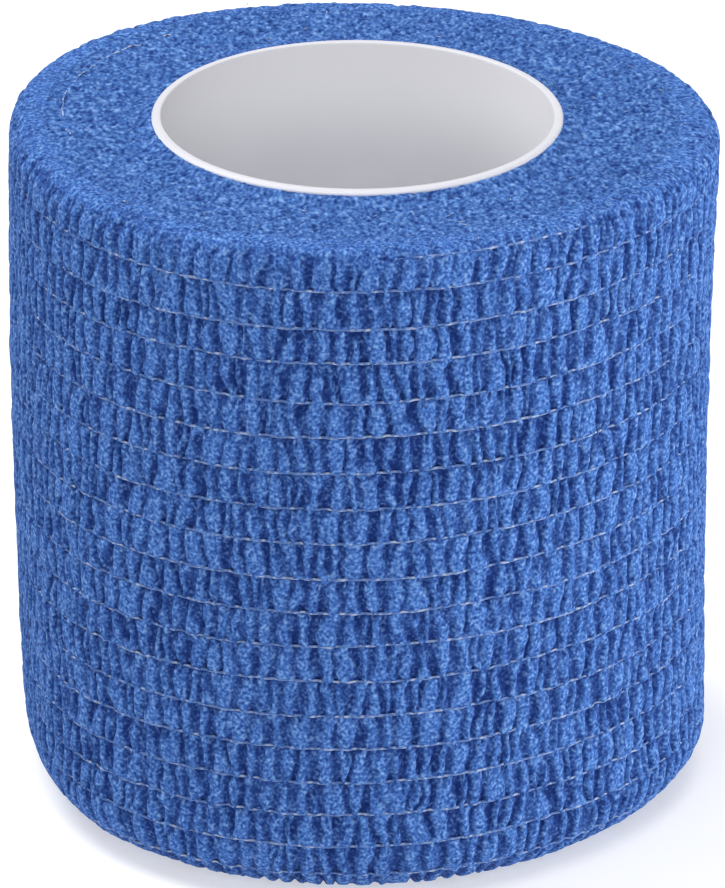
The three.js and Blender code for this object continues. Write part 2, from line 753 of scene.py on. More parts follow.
@dataclass(frozen=True)
class Felt:
    """The felted fibres of the cloth: two crossed lays of short streaks, and two sizes of dots.

    A lay is its lean in degrees and its scale, and the dots of one size are their scale and share.
    """

    name: str = "felt"
    lays: tuple[Span, ...] = ((36.0, 1.95), (-41.0, 2.05))
    streak_length: float = 1.5
    lay_softness: float = 0.12
    lay_share: float = 0.50
    dots: tuple[Span, ...] = ((2.45, 0.40), (1.2, 0.10))
    darkest_at: float = 0.29
    tone_span: float = 0.49

    def group(self) -> bpy.types.NodeTree:
        """Builds the group once, which each cloth finish then places with its own scale.

        Returns:
            The node group: a tone from 0 to 1 and a height that change over the surface.
        """
        known = bpy.data.node_groups.get(self.name)
        if known:
            return known
        tree = bpy.data.node_groups.new(self.name, "ShaderNodeTree")
        tree.interface.new_socket("Vector", in_out="INPUT", socket_type="NodeSocketVector")
        tree.interface.new_socket("Scale", in_out="INPUT", socket_type="NodeSocketFloat")
        for name in ("Tone", "Height"):
            tree.interface.new_socket(name, in_out="OUTPUT", socket_type="NodeSocketFloat")
        wires = Wiring(tree)
        entry = wires.add("NodeGroupInput")
        place, scale = entry.outputs["Vector"], entry.outputs["Scale"]

        crossed: Inputs = {2: self.lay_softness}
        for index, (lean, times) in enumerate(self.lays):
            turn = (0.0, 0.0, math.radians(lean))
            stretch = (1.0, self.streak_length, 1.0)
            turned = wires.mapped(place, {"Rotation": turn, "Scale": stretch})
            crossed[index] = wires.noise(turned, wires.math("MULTIPLY", scale, times))
        streaks = wires.add("ShaderNodeMath", crossed, operation="SMOOTH_MAX").outputs[0]
        total = wires.math("MULTIPLY", streaks, self.lay_share)
        for times, share in self.dots:
            dots = wires.noise(place, wires.math("MULTIPLY", scale, times))
            total = wires.math("ADD", total, wires.math("MULTIPLY", dots, share))
        over_dark = wires.math("SUBTRACT", total, self.darkest_at)
        tone = wires.math("DIVIDE", over_dark, self.tone_span, clamp=True)
        wires.add("NodeGroupOutput", {"Tone": tone, "Height": total})
        return tree


@dataclass(frozen=True)
class ClothFinish:
    """Dyed crinkled felt: blue, with paler fibres on top, and painted shade in its hollows, grooves
    and other recesses, as its hollow attribute gives it.
    """

    name: str
    laid_along: str = ""
    dark: Colour = (0.018, 0.054, 0.225)
    light: Colour = (0.056, 0.150, 0.456)
    fibre: Colour = (0.122, 0.26, 0.59)
    fleck: Colour = (0.22, 0.37, 0.67)
    tones: tuple[float, ...] = (0.16, 0.5, 0.72, 0.95)
    # Painted shade: the next three fields darken the cloth where the hollow attribute is high, by a
    # multiplying tint and a mix towards the deep colour; lint_shades keeps less of it on pale fibres.
    painted_shade_tint: Colour = (0.15, 0.20, 0.36)
    deep: Colour = (0.0085, 0.029, 0.158)
    painted_shadow_share: float = 0.5
    lint_tones: Span = (0.4, 1.0)
    lint_shades: Span = (1.0, 0.72)
    grain_stretch: float = 1.0
    grain_scale: float = 1950.0
    bump: float = 0.014
    roughness: float = 0.88
    specular: float = 0.06
    sheen: float = 0.03
    sheen_roughness: float = 0.6
    sheen_tint: Colour = (0.45, 0.68, 1.0)

    def material(self) -> bpy.types.Material:
        """Builds the material.

        Returns:
            The material.
        """
        surface = Surface(self.name)
        if self.laid_along:
            laid = surface.add("ShaderNodeAttribute", attribute_name=self.laid_along)
            spot = laid.outputs["Vector"]
        else:
            spot = surface.spot()
        spot = surface.mapped(spot, {"Scale": (1.0, self.grain_stretch, 1.0)})
        lay = {"Vector": spot, "Scale": self.grain_scale}
        felt = surface.add("ShaderNodeGroup", lay, node_tree=Felt().group())
        hollow = surface.add("ShaderNodeAttribute", attribute_name="hollow").outputs["Fac"]
        colours = dict(zip(self.tones, (self.dark, self.light, self.fibre, self.fleck)))
        colour = surface.stops(felt.outputs["Tone"], colours)
        # Painted shade: the colour is drawn darker where the hollow attribute is high, less so on pale
        # fibres.
        lint = surface.ramp(felt.outputs["Tone"], self.lint_tones, self.lint_shades)
        deep = surface.blend(1.0, colour, opaque(self.painted_shade_tint), "MULTIPLY")
        deep = surface.blend(self.painted_shadow_share, deep, opaque(self.deep))
        colour = surface.blend(surface.math("MULTIPLY", hollow, lint), colour, deep)
        return surface.finished({
            "Base Color": colour,
            "Normal": surface.bump(felt.outputs["Height"], self.bump),
            "Roughness": self.roughness,
            "Specular IOR Level": self.specular,
            "Sheen Weight": self.sheen,
            "Sheen Roughness": self.sheen_roughness,
            "Sheen Tint": opaque(self.sheen_tint),
        })


@dataclass(frozen=True)
class ThreadFinish:
    """Covered elastic thread: pale, with warmer and bluer stretches along it, and painted glints."""

    name: str
    pale: Colour = (0.17, 0.253, 0.50)
    warm: Colour = (0.22, 0.285, 0.47)
    blued: Colour = (0.065, 0.155, 0.42)
    painted_glint: Colour = (0.34, 0.42, 0.60)
    drift_scale: float = 260.0
    drift_detail: float = 1.0
    dash_scale: float = 2900.0
    warm_drift: Span = (0.45, 0.65)
    blued_dash: Span = (0.40, 0.56)
    painted_glint_dash: Span = (0.38, 0.30)
    roughness: float = 0.55
    sheen: float = 0.2

    def material(self) -> bpy.types.Material:
        """Builds the material.

        Returns:
            The material.
        """
        surface = Surface(self.name)
        spot = surface.spot()
        drift = surface.noise(spot, self.drift_scale, self.drift_detail)
        dash = surface.noise(spot, self.dash_scale)
        warmth = surface.ramp(drift, self.warm_drift)
        colour = surface.blend(warmth, opaque(self.pale), opaque(self.warm))
        colour = surface.blend(surface.ramp(dash, self.blued_dash), colour, opaque(self.blued))
        # Painted highlight: bright glints drawn into the colour at spots along the thread.
        colour = surface.blend(surface.ramp(dash, self.painted_glint_dash), colour, opaque(self.painted_glint))
        return surface.finished(
            {"Base Color": colour, "Roughness": self.roughness, "Sheen Weight": self.sheen}
        )


@dataclass(frozen=True)
class TubeFinish:
    """Satin white plastic: a faintly clouded wall with a fine grain, with painted light that makes it
    paler by the mouth and darker deeper in, and painted shade that makes its rim grey-white.
    """

    name: str
    wall: Colour = (0.74, 0.74, 0.78)
    shade: Colour = (0.71, 0.71, 0.75)
    # Painted light and shade: the wall is drawn paler towards the mouth, so deeper in it is darker,
    # and the top of the rim is drawn greyer against the light that falls on it.
    painted_light_by_mouth: Colour = (0.87, 0.87, 0.905)
    rim: Colour = (0.63, 0.627, 0.68)
    painted_light_heights: Span = (40.5, 48.5)
    rim_painted_shade_heights: Span = (50.16, 50.24)
    cloud_scale: float = 160.0
    cloud_detail: float = 3.0
    cloud_edges: Span = (0.35, 0.65)
    gloss_edges: Span = (0.3, 0.7)
    roughness: Span = (0.38, 0.5)
    grain_scale: float = 2600.0
    grain_detail: float = 2.0
    bump: float = 0.004

    def material(self) -> bpy.types.Material:
        """Builds the material.

        Returns:
            The material.
        """
        surface = Surface(self.name)
        spot = surface.spot()
        cloud = surface.noise(spot, self.cloud_scale, self.cloud_detail)
        grain = surface.noise(spot, self.grain_scale, self.grain_detail)
        clouded = surface.ramp(cloud, self.cloud_edges)
        colour = surface.blend(clouded, opaque(self.wall), opaque(self.shade))
        height = surface.add("ShaderNodeSeparateXYZ", {"Vector": spot}).outputs["Z"]
        # Painted light towards the mouth, and painted shade on the rim's top.
        for heights, paint in ((self.painted_light_heights, self.painted_light_by_mouth), (self.rim_painted_shade_heights, self.rim)):
            above = surface.ramp(height, (heights[0] * MM, heights[1] * MM))
            colour = surface.blend(above, colour, opaque(paint))
        return surface.finished({
            "Base Color": colour,
            "Normal": surface.bump(grain, self.bump),
            "Roughness": surface.ramp(cloud, self.gloss_edges, self.roughness),
        })


# Pieces


@dataclass(frozen=True)
class PuckerPaintedShade:
    """How much painted shade the cloth gets from its relief, from 0 to 1, where it is deep, felted or
    uneven: in the hollows, on their slopes, along the thread grooves, over the felted rim, and where
    the broad unevenness and the crinkle sink it.
    """

    hollow_roundness: float = 0.6
    slope: float = 0.2
    # Painted shade over the felted top rim, which faces up into the lamps.
    felted: float = 0.16
    groove: float = 0.15
    broad: float = 0.06
    crinkle_felted: float = 0.2
    crinkle_puckered: float = 0.07


@dataclass
class Puckers:
    """Rows of hollows laid along the lap's section, with the depths that the cloth has.

    A noise's reach is in millimetres along the tape and in levels across it.
    """

    section: LapSection
    pucker_painted_shade: PuckerPaintedShade = PuckerPaintedShade()
    seed: int = 11
    columns: int = 1080
    row_levels: tuple[float, ...] = (0.0, 0.06, 0.15, 0.28, 0.43, 0.58, 0.72, 0.85, 0.94)
    end_levels: int = 10
    cut_gap: float = 0.35
    hollow_depth: float = 0.32
    pinch_share: float = 0.8
    fold_swing: float = 0.25
    fold_limits: Span = (0.25, 1.35)
    row_puff: float = 0.04
    roundness: float = 0.7
    groove_depth: float = 0.07
    groove_reach: float = 0.085
    groove_bridged: float = 0.6
    crown: float = 0.065
    crinkle: float = 0.018
    felted_crinkle: float = 0.8
    unevenness: float = 0.02
    felted_unevenness: float = 0.3
    sway: float = 0.12
    quick_sway: float = 0.06
    thread_waver: float = 0.045
    quick_waver: float = 0.12
    waver_reach: Span = (3.0, 0.5)
    rim_stiffening: float = 1.5
    crinkle_reach: Span = (0.15, 0.9)
    patch_reach: Span = (0.32, 1.5)
    broad_reach: Span = (0.8, 3.0)
    sway_reach: Span = (0.40, 1.5)
    quick_sway_reach: Span = (0.18, 0.9)
    rim_rows: int = 2
    rim_fade: Span = (-0.45, 0.5)
    rim_raggedness: float = 0.25
    foot_fade: Span = (0.0, 0.3)
    foot_raggedness: float = 0.1
    broad_raggedness: float = 0.6
    pinches_end: float = 0.485

    def __post_init__(self) -> None:
        """Lays out the levels and reads the hollows on each."""
        self.turn_length = 2.0 * math.pi * self.section.form.radius
        self.cell = self.turn_length / self.columns
        self.along = np.linspace(0.0, self.turn_length, self.columns + 1)
        self.threads = self._thread_lines(np.random.default_rng(self.seed + 2))
        start = np.zeros((1, self.columns + 1))
        bounds = np.concatenate([start, self.threads, start + self.section.length])
        self.rows = len(bounds) - 1
        self.level_row = self._level_rows()
        heights = np.diff(bounds, axis=0)
        levels = [bounds[row] + across * heights[row] for row, across in self.level_row]
        self.levels = np.stack(levels, axis=1)

        rng = np.random.default_rng(self.seed)
        self.crinkles = self._noise(rng, self.crinkle_reach)
        self.patches = self._noise(rng, self.patch_reach)
        self.broad = self._noise(rng, self.broad_reach)
        self.shifts = self.sway * self._noise(rng, self.sway_reach)
        self.shifts += self.quick_sway * self._noise(rng, self.quick_sway_reach)
        self.depth = np.zeros(self.levels.shape)
        # The painted shade of each point, which the cloth finish reads as its hollow attribute.
        self.shade = np.zeros(self.levels.shape)
        row_kinds = (FOLDS, PINCHES)
        rows = [[kind.draw(rng, self.turn_length) for kind in row_kinds] for _ in range(self.rows)]
        rim = RIM_FOLDS.draw(rng, self.turn_length)
        for index, (row, across) in enumerate(self.level_row):
            folds, pinches = rows[row]
            up_rim = (across + row - (self.rows - self.rim_rows)) / self.rim_rows
            along = self.along + self.shifts[:, index]
            fold, crest = rim.at(up_rim, along) if up_rim >= 0.0 else folds.at(across, along)
            pinch, _ = pinches.at(across, along)
            if up_rim > self.pinches_end:
                pinch = np.zeros_like(pinch)
            self._fill_level(index, fold, crest, pinch)

    def _noise(self, rng: np.random.Generator, reach: Span) -> np.ndarray:
        """Soft noise over the columns and levels, with its reach along in millimetres."""
        return soft_noise(rng, self.levels.shape, (reach[0] / self.cell, reach[1]))

    def _thread_lines(self, rng: np.random.Generator) -> np.ndarray:
        """Where each thread runs along the section, column by column.

        Args:
            rng: The seeded source.

        Returns:
            Lengths along the section, as (threads, columns + 1).
        """
        form = self.section.form
        pitch = (form.highest_thread - form.lowest_thread) / (form.thread_count - 1)
        even = form.lowest_thread + pitch * np.arange(form.thread_count) + np.array(form.thread_nudges)
        angle = math.radians(form.tape_end) + self.along / form.radius
        shared = form.tape_wander * np.cos(angle - math.radians(form.wander_facing))
        lines = []
        for height in even:
            slow, quick = (soft_row(rng, len(angle), reach / self.cell) for reach in self.waver_reach)
            waver = self.thread_waver * (slow + self.quick_waver * quick)
            free = min(1.0, (form.tape_width - height) / self.rim_stiffening)
            lines.append(self.section.along_at(np.full_like(angle, height)) + free * (shared + waver))
        return np.array(lines)

    def _level_rows(self) -> list[tuple[int, float]]:
        """Spreads levels over the rows.

        Returns:
            The row and the share of the row of each level.
        """
        last = self.rows - 1
        evenly = [i / self.end_levels for i in range(self.end_levels)]
        spread: list[tuple[int, float]] = []
        for row in range(self.rows):
            shares = evenly if row in (0, last) else self.row_levels
            spread.extend((row, share) for share in shares)
        spread.append((last, 1.0))
        return spread

    def thread_level(self, row: int) -> int:
        """The level at the bottom of a row, on its thread."""
        return self.level_row.index((row, 0.0))

    def angles(self) -> np.ndarray:
        """Angle of each column in radians, from one side of the tape's cut round to the other."""
        turn = self.along / self.turn_length
        return np.radians(self.section.form.tape_end + turn * (360.0 - self.cut_gap))

    def placed(self, along: np.ndarray, depth: np.ndarray) -> np.ndarray:
        """Puts points of the outer turn where the real winding has them.

        Args:
            along: Lengths along the section, as (columns + 1, stations).
            depth: How far each is under the ridge tops.

        Returns:
            Points in metres, with a last axis of three.
        """
        form = self.section.form
        radius, height = self.section.at(along, depth)
        inset = form.tape_thickness * (1.0 - self.along[:, None] / self.turn_length)
        return form.place(self.angles()[:, None], radius, height, inset)

    def _showing(self, row: int, across: float, ragged: np.ndarray) -> np.ndarray:
        """How far the hollows show: they fade out raggedly over the top rim and under the foot.

        Args:
            row: The row.
            across: How far up the row, from 0 to 1.
            ragged: How far out of line the fading is at each column.

        Returns:
            Shares from 0 to 1.
        """
        from_last = across + row - (self.rows - 1)
        if from_last > -1.0:
            return 1.0 - smooth_step(*self.rim_fade, from_last + self.rim_raggedness * ragged)
        if row == 0:
            return smooth_step(*self.foot_fade, across + self.foot_raggedness * ragged)
        return np.ones_like(ragged)

    def _fill_level(
        self, index: int, fold: np.ndarray, crest: np.ndarray, pinch: np.ndarray
    ) -> None:
        """Works out the depth under the ridge tops and the painted shade of one level.

        Args:
            index: The level.
            fold: How deep the folds are at each column.
            crest: How near each column is to a ridge's crest.
            pinch: How deep the pinches are at each column.
        """
        row, across = self.level_row[index]
        crinkle, patch, broad = self.crinkles[:, index], self.patches[:, index], self.broad[:, index]
        showing = self._showing(row, across, patch + self.broad_raggedness * broad)
        felted = 1.0 - showing
        fold = fold * np.clip(1.0 + self.fold_swing * patch, *self.fold_limits)
        hollow = showing * np.clip(np.maximum(fold, self.pinch_share * pinch), 0.0, 1.0)
        slope = showing * (1.0 - hollow)
        over_thread = across if row > 0 else 1.0
        under_thread = 1.0 - across if row < self.rows - 1 else 1.0
        groove = math.exp(-((min(over_thread, under_thread) / self.groove_reach) ** 2))
        free = math.sin(math.pi * across) if 0 < row < self.rows - 1 else 1.0

        under = self.hollow_depth * hollow
        under = under + self.row_puff * (1.0 - free**self.roundness)
        under = under + self.groove_depth * groove * (1.0 - self.groove_bridged * crest**2)
        under = under + self.crown * slope * (1.0 - crest**self.roundness)
        under = under + self.crinkle * crinkle * (1.0 + self.felted_crinkle * felted)
        calmed = showing + self.felted_unevenness * felted
        self.depth[:, index] = under + self.unevenness * (broad + 1.0) * calmed

        # Painted shade: the cloth is drawn darker in the hollows, on their slopes, over the felted
        # rim, in the thread grooves and where the broad unevenness and the crinkle sink it.
        look = self.pucker_painted_shade
        grain = look.crinkle_puckered * showing + look.crinkle_felted * felted
        shade = hollow**look.hollow_roundness + look.slope * slope * (1.0 - crest)
        shade = shade + look.felted * felted + look.groove * groove
        shade = shade + look.broad * broad + grain * crinkle
        self.shade[:, index] = np.clip(shade, 0.0, 1.0)


@dataclass
class OuterLap:
    """The tape's last turn, in three bands that meet under threads, so that each stays light."""

    puckers: Puckers
    finish: ClothFinish
    thickness: float = 0.95
    seam_rows: tuple[int, int] = (7, 13)
    inner_levels: int = 12

    def _band(self, name: str, first: int, last: int) -> bpy.types.Object:
        """Builds the lap between two levels.

        Args:
            name: The piece's name.
            first: Its lowest level.
            last: Its highest level.

        Returns:
            The piece.
        """
        puckers = self.puckers
        band = slice(first, last + 1)
        outer, under, tone = puckers.levels[:, band], puckers.depth[:, band], puckers.shade[:, band]
        share = np.linspace(0.0, 1.0, self.inner_levels)[None, :]
        inner = outer[:, -1:] + share * (outer[:, :1] - outer[:, -1:])
        along = np.concatenate([outer, inner, outer[:, :1]], axis=1)
        deep = np.concatenate([under, np.full_like(inner, self.thickness), under[:, :1]], axis=1)
        shade = np.concatenate([tone, np.ones_like(inner), tone[:, :1]], axis=1)
        laid = np.stack(np.broadcast_arrays(puckers.along[:, None], along, deep), axis=-1) * MM
        # The hollow attribute carries the painted shade; the hidden inside is drawn fully shaded.
        fields = {"hollow": shade, "laid": laid}
        return smooth_piece(name, bent_grid(puckers.placed(along, deep), fields, Ends.BRIDGED))

    def build(self) -> list[bpy.types.Object]:
        """Builds and dresses the bands.

        Returns:
            The pieces.
        """
        lower, upper = (self.puckers.thread_level(row) for row in self.seam_rows)
        last = len(self.puckers.level_row) - 1
        bands = [
            self._band("outer_lap_lower", 0, lower),
            self._band("outer_lap_middle", lower, upper),
            self._band("outer_lap_upper", upper, last),
        ]
        return dressed(bands, self.finish.material(), "wound_cloth")


@dataclass(frozen=True)
class Crease:
    """A short slit where the ends of two turns part, from one angle and radius to another."""

    start: Span = (339.0, 21.3)
    end: Span = (332.5, 24.2)
    width: float = 0.10
    depth: float = 0.32
    bow: float = 0.14
    first_fade: Span = (-0.2, 0.4)
    last_fade: float = 0.6

    def depth_at(self, form: RollForm, angles: np.ndarray, radii: np.ndarray) -> np.ndarray:
        """How deep the slit is over a ring of points.

        Args:
            form: The wound form.
            angles: Angle of each column in radians.
            radii: Radius of each ring.

        Returns:
            Shares of the full depth as (columns, rings).
        """
        first, last = (
            radius * np.array([math.cos(math.radians(angle)), math.sin(math.radians(angle))])
            for angle, radius in (self.start, self.end)
        )
        reach = float(np.hypot(*(last - first)))
        way = (last - first) / reach
        stretch = 1.0 + form.out_of_round(angles, form.tape_width)[:, None] / form.radius
        x = np.cos(angles)[:, None] * radii[None, :] * stretch - first[0]
        y = np.sin(angles)[:, None] * radii[None, :] * stretch - first[1]
        along = x * way[0] + y * way[1]
        aside = y * way[0] - x * way[1] - self.bow * np.sin(along / reach * math.pi)
        starts = smooth_step(*self.first_fade, along)
        ends = 1.0 - smooth_step(reach - self.last_fade, reach, along)
        return starts * ends * np.exp(-((aside / self.width) ** 2))


@dataclass(frozen=True)
class Tufts:
    """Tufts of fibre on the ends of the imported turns, of two sizes.

    A size is its reach along and outwards, and its share.
    """

    sizes: tuple[tuple[Span, float], ...] = (((0.10, 0.13), 0.9), ((0.3, 0.35), 0.4))
    seed: int = 23

    def heights(self, columns: int, radii: np.ndarray) -> np.ndarray:
        """Draws the tufts of one end, with a spread of about one.

        Args:
            columns: Columns round the ring.
            radii: Radius of each ring.

        Returns:
            Heights as (columns, rings).
        """
        rng = np.random.default_rng(self.seed + columns)
        cell = math.pi * (radii.min() + radii.max()) / columns
        ring = abs(radii[-1] - radii[0]) / (len(radii) - 1)
        shape = (columns, len(radii))
        return sum(
            share * soft_noise(rng, shape, (along / cell, outward / ring))
            for (along, outward), share in self.sizes
        )


@dataclass
class PackedLaps:
    """The turns under the outer one: their edges show as a felted ring at each end."""

    form: RollForm
    finish: ClothFinish
    tufts: Tufts = Tufts()
    crease: Crease = Crease()
    top_columns: int = 1300
    top_rings: int = 66
    inner_edge: float = 14.50
    outer_top: float = 23.1
    edge_reach: float = 0.8
    edge_sink: float = 0.55
    tube_reach: float = 1.6
    tube_rise: float = 0.40
    smooth_reach: float = 0.5
    smooth_share: float = 0.6
    top_tuft: float = 0.05
    # Painted shade: tuft_shade darkens the pits between tufts at both ends and crease_shade draws the
    # crease's shadow; top_shade and foot_shade are flat darkenings of each end.
    top_shade: float = 0.20
    crease_shade: float = 0.8
    split_height: float = 47.5
    foot_columns: int = 720
    foot_rings: int = 22
    foot_reach: float = 20.6
    foot_edge: Span = (19.1, 19.7)
    foot_rise: float = 0.5
    foot_tuft: float = 0.05
    foot_lift: float = 1.2
    foot_shade: float = 0.25
    darkest_foot: float = 0.8
    tuft_shade: float = 0.20
    hidden_shade: float = 0.5
    hidden_foot: Span = (22.0, 8.0)
    hidden_radius: float = 22.3

    def _ring(
        self, name: str, radii: np.ndarray, heights: np.ndarray, shades: np.ndarray, hidden: list[Span]
    ) -> bpy.types.Object:
        """Builds a closed ring from the stations of its section.

        Args:
            name: The piece's name.
            radii: Radius of each station of the felted end.
            heights: Height of each column and station there.
            shades: Painted shade of each column and station there.
            hidden: Radius and height of each station out of sight, round to the first one.

        Returns:
            The piece.
        """
        radii = np.concatenate([radii, [radius for radius, _ in hidden], radii[:1]])
        unseen = np.broadcast_to([height for _, height in hidden], (len(heights), len(hidden)))
        heights = np.concatenate([heights, unseen, heights[:, :1]], axis=1)
        plain = np.full(unseen.shape, self.hidden_shade)
        shades = np.concatenate([shades, plain, shades[:, :1]], axis=1)
        heights, shades = (np.concatenate([rows, rows[:1]]) for rows in (heights, shades))
        turn = np.linspace(0.0, 2.0 * math.pi, len(heights))[:, None]
        turn[-1] = turn[0]
        inset = self.form.tape_thickness / 2.0
        places = self.form.place(turn, np.broadcast_to(radii, heights.shape), heights, inset)
        return smooth_piece(name, bent_grid(places, {"hollow": shades}, Ends.MEET))

    def _top(self) -> bpy.types.Object:
        """Builds the felted top, from the tube to under the outer turn.

        Returns:
            The piece.
        """
        edge = self.inner_edge
        radii = np.linspace(edge, self.outer_top, self.top_rings + 1)
        tufts = self.tufts.heights(self.top_columns, radii)
        by_tube = 1.0 - smooth_step(edge, edge + self.tube_reach, radii)
        smoothed = 1.0 - smooth_step(edge, edge + self.smooth_reach, radii)
        tucked = smooth_step(self.outer_top - self.edge_reach, self.outer_top, radii)
        angles = np.linspace(0.0, 2.0 * math.pi, self.top_columns, endpoint=False)
        slit = self.crease.depth_at(self.form, angles, radii)
        heights = self.form.top_height(radii) + self.tube_rise * by_tube - self.edge_sink * tucked
        heights = heights + self.top_tuft * tufts * (1.0 - self.smooth_share * smoothed)
        heights = heights - self.crease.depth * slit
        # Painted shade: the pits between the tufts and the crease are drawn darker.
        shades = self.top_shade - self.tuft_shade * tufts + self.crease_shade * slit
        hidden = [(self.outer_top, self.split_height), (edge, self.split_height)]
        return self._ring("felt_top", radii, heights, np.clip(shades, 0.0, 1.0), hidden)

    def _body(self) -> bpy.types.Object:
        """Builds the rest of the winding, down to its felted foot.

        Returns:
            The piece.
        """
        radii = np.linspace(self.form.bore, self.foot_reach, self.foot_rings + 1)
        tufts = self.tufts.heights(self.foot_columns, radii)
        heights = self.foot_tuft * np.clip(tufts + self.foot_lift, 0.0, None)
        heights = heights + self.foot_rise * smooth_step(*self.foot_edge, radii)
        # Painted shade: the foot's tufts are drawn darker where they sit deeper in.
        shades = np.clip(self.foot_shade + self.tuft_shade * tufts, 0.0, self.darkest_foot)
        radii_up = (self.hidden_radius, self.form.bore)
        hidden = [self.hidden_foot, *((radius, self.split_height) for radius in radii_up)]
        return self._ring("packed_laps", radii, heights, shades, hidden)

    def build(self) -> list[bpy.types.Object]:
        """Builds and dresses the top and the body.

        Returns:
            The pieces.
        """
        pieces = [self._top(), self._body()]
        return dressed(pieces, self.finish.material(), "wound_cloth")


@dataclass
class ElasticThreads:
    """The elastic threads that run round the outer turn, each half sunk in the cloth.

    The highest one shows only at the front right, and is sunk out of sight in the rim elsewhere.
    """

    puckers: Puckers
    finish: ThreadFinish
    seed: int = 37
    radius: float = 0.102
    sides: int = 4
    sunk: float = 0.012
    side_sunk: float = 0.10
    side_onset: int = 4
    cover_reach: Span = (1.2, 0.25)
    weave: float = 0.035
    waver: float = 0.006
    waver_reach: float = 0.18
    rim_shown: Span = (273.0, 316.0)
    rim_fade: float = 6.0
    rim_sunk: float = 0.25
    rim_shown_sunk: float = 0.02

    def _strand(self, rng: np.random.Generator, index: int) -> bmesh.types.BMesh:
        """Builds one thread.

        Args:
            rng: The seeded source.
            index: Which thread, from the lowest up.

        Returns:
            The bmesh of the thread.
        """
        puckers = self.puckers
        cover = puckers.depth[:, puckers.thread_level(index + 1)]
        depth = sum(blurred(cover, reach / puckers.cell) for reach in self.cover_reach)
        depth = depth / len(self.cover_reach)
        angles = puckers.angles()
        if index == puckers.section.form.thread_count - 1:
            facing = np.degrees(angles) % 360.0
            start, end = self.rim_shown
            shown = smooth_step(start, start + self.rim_fade, facing)
            shown = shown * (1.0 - smooth_step(end - self.rim_fade, end, facing))
            depth = depth + self.rim_sunk * (1.0 - shown) + self.rim_shown_sunk * shown
        depth = depth + self.sunk + self.side_sunk * np.cos(angles) ** self.side_onset
        reach = self.waver_reach / puckers.cell
        depth = depth + self.weave * soft_row(rng, len(depth), reach)
        aside = self.waver * soft_row(rng, len(depth), reach)
        around = np.linspace(0.0, 2.0 * math.pi, self.sides + 1)[None, :]
        along = (puckers.threads[index] + aside)[:, None] + self.radius * np.sin(around)
        places = puckers.placed(along, depth[:, None] - self.radius * np.cos(around))
        places[:, -1] = places[:, 0]
        return bent_grid(places, {}, Ends.CAPPED)

    def build(self) -> list[bpy.types.Object]:
        """Builds and dresses the threads as one piece.

        Returns:
            The piece, in a list.
        """
        rng = np.random.default_rng(self.seed)
        count = self.puckers.section.form.thread_count
        strands = (self._strand(rng, index) for index in range(count))
        pieces = [smooth_piece("elastic_threads", joined(strands))]
        return dressed(pieces, self.finish.material(), "wound_cloth")


@dataclass(frozen=True)
class FibreArc:
    """A stretch of the top where loose ends of thread lie, by angles in degrees and radii."""

    angles: Span
    radii: Span
    count: int
    length: float


